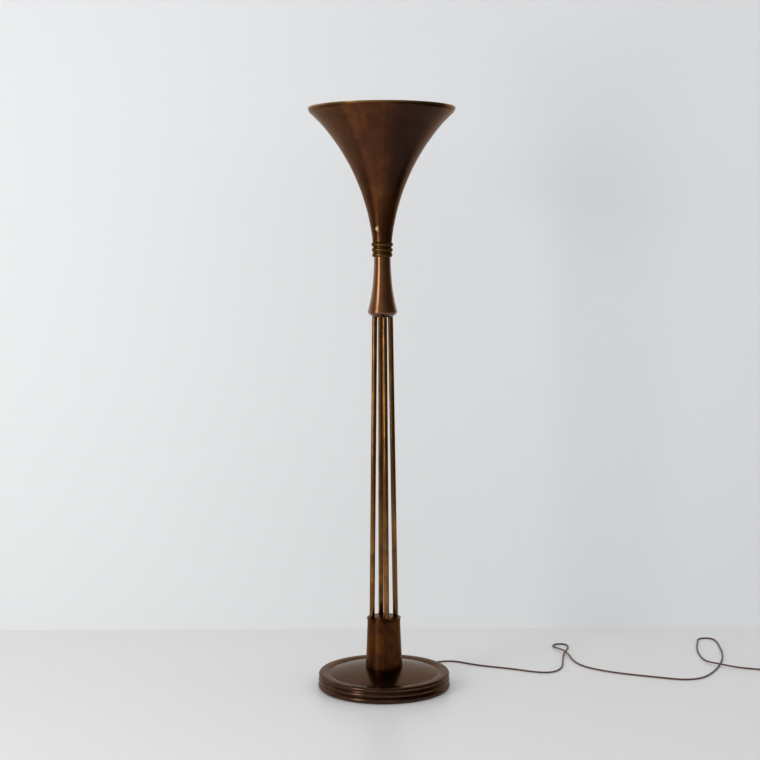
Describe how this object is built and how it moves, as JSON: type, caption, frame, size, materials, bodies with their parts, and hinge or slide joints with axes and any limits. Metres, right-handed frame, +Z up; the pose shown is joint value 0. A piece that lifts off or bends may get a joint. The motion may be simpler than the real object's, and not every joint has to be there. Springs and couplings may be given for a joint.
{
  "type": "torchiere floor lamp",
  "caption": "Floor lamp with an upward trumpet shade, beaded collar, flared neck, slim splayed rods, a cup, a round beaded base, a push-button switch and a mains cord.",
  "frame": {"origin": "middle of the base's underside, on the floor", "axes": "+Z up along the lamp's axis; -Y towards its front, the side that the switch is on; +X to the right of someone facing that front"},
  "size_m": [1.4835, 0.759, 1.7],
  "materials": {
    "dark_brass": "dark red-brown patina over spun brass, satin gloss",
    "base_brass": "dark brown patina, polished and lacquered",
    "gold_brass": "aged gold-brown brass, streaked, polished",
    "steel": "zinc plated",
    "cast_iron": "rough, as cast",
    "felt": "pressed wool felt",
    "porcelain": "glazed",
    "black_bakelite": "moulded, glossy",
    "nickel": "nickel plated, a little worn",
    "frosted_glass": "inside frosted",
    "braid": "dark brown braided textile",
    "rubber": "matte black"
  },
  "bodies": {
    "lamp": {"base_cover": "base_brass", "base_weight": "cast_iron", "bottom_plate": "steel", "centre_bolt": "steel", "centre_nut": "steel", "centre_pipe": "steel", "centre_washer": "steel", "coil_tie": "rubber", "collar_ring": "gold_brass", "cord_coil": "braid", "cord_gland": "rubber", "cord_tail": "braid", "floor_felt_ring": "felt", "inner_lead": "rubber", "lamp_glass": "frosted_glass", "lamp_screw_cap": "nickel", "lampholder_cap": "black_bakelite", "lampholder_insert": "porcelain", "lampholder_lead": "rubber", "lampholder_shell": "black_bakelite", "lower_rod_plate": "dark_brass", "mains_cord": "braid", "neck_column": "gold_brass", "pipe_nut": "steel", "plate_screw_1": "steel", "plate_screw_2": "steel", "plate_screw_3": "steel", "plug_body": "black_bakelite", "plug_pin_left": "nickel", "plug_pin_right": "nickel", "rod_back": "gold_brass", "rod_front": "gold_brass", "rod_left": "gold_brass", "rod_nipple_lower": "nickel", "rod_nipple_upper": "nickel", "rod_right": "gold_brass", "shade": "dark_brass", "shade_clamp_disc": "steel", "stem_cup": "dark_brass", "switch_body": "black_bakelite", "switch_ring_nut": "gold_brass", "tie_nut_front_lower": "steel", "tie_nut_front_upper": "steel", "tie_nut_left_lower": "steel", "tie_nut_left_upper": "steel", "tie_nut_right_lower": "steel", "tie_nut_right_upper": "steel", "tie_rod_front": "steel", "tie_rod_left": "steel", "tie_rod_right": "steel", "upper_rod_plate": "gold_brass"},
    "button": {"switch_button": "nickel"}
  },
  "joints": [
    {"name": "switch_press", "type": "slide", "parent": "lamp", "child": "button", "axis": [0.396, 0.902, 0.1719], "range_m": [0, 0.0022], "stiffness_N_per_m": 300}
  ]
}
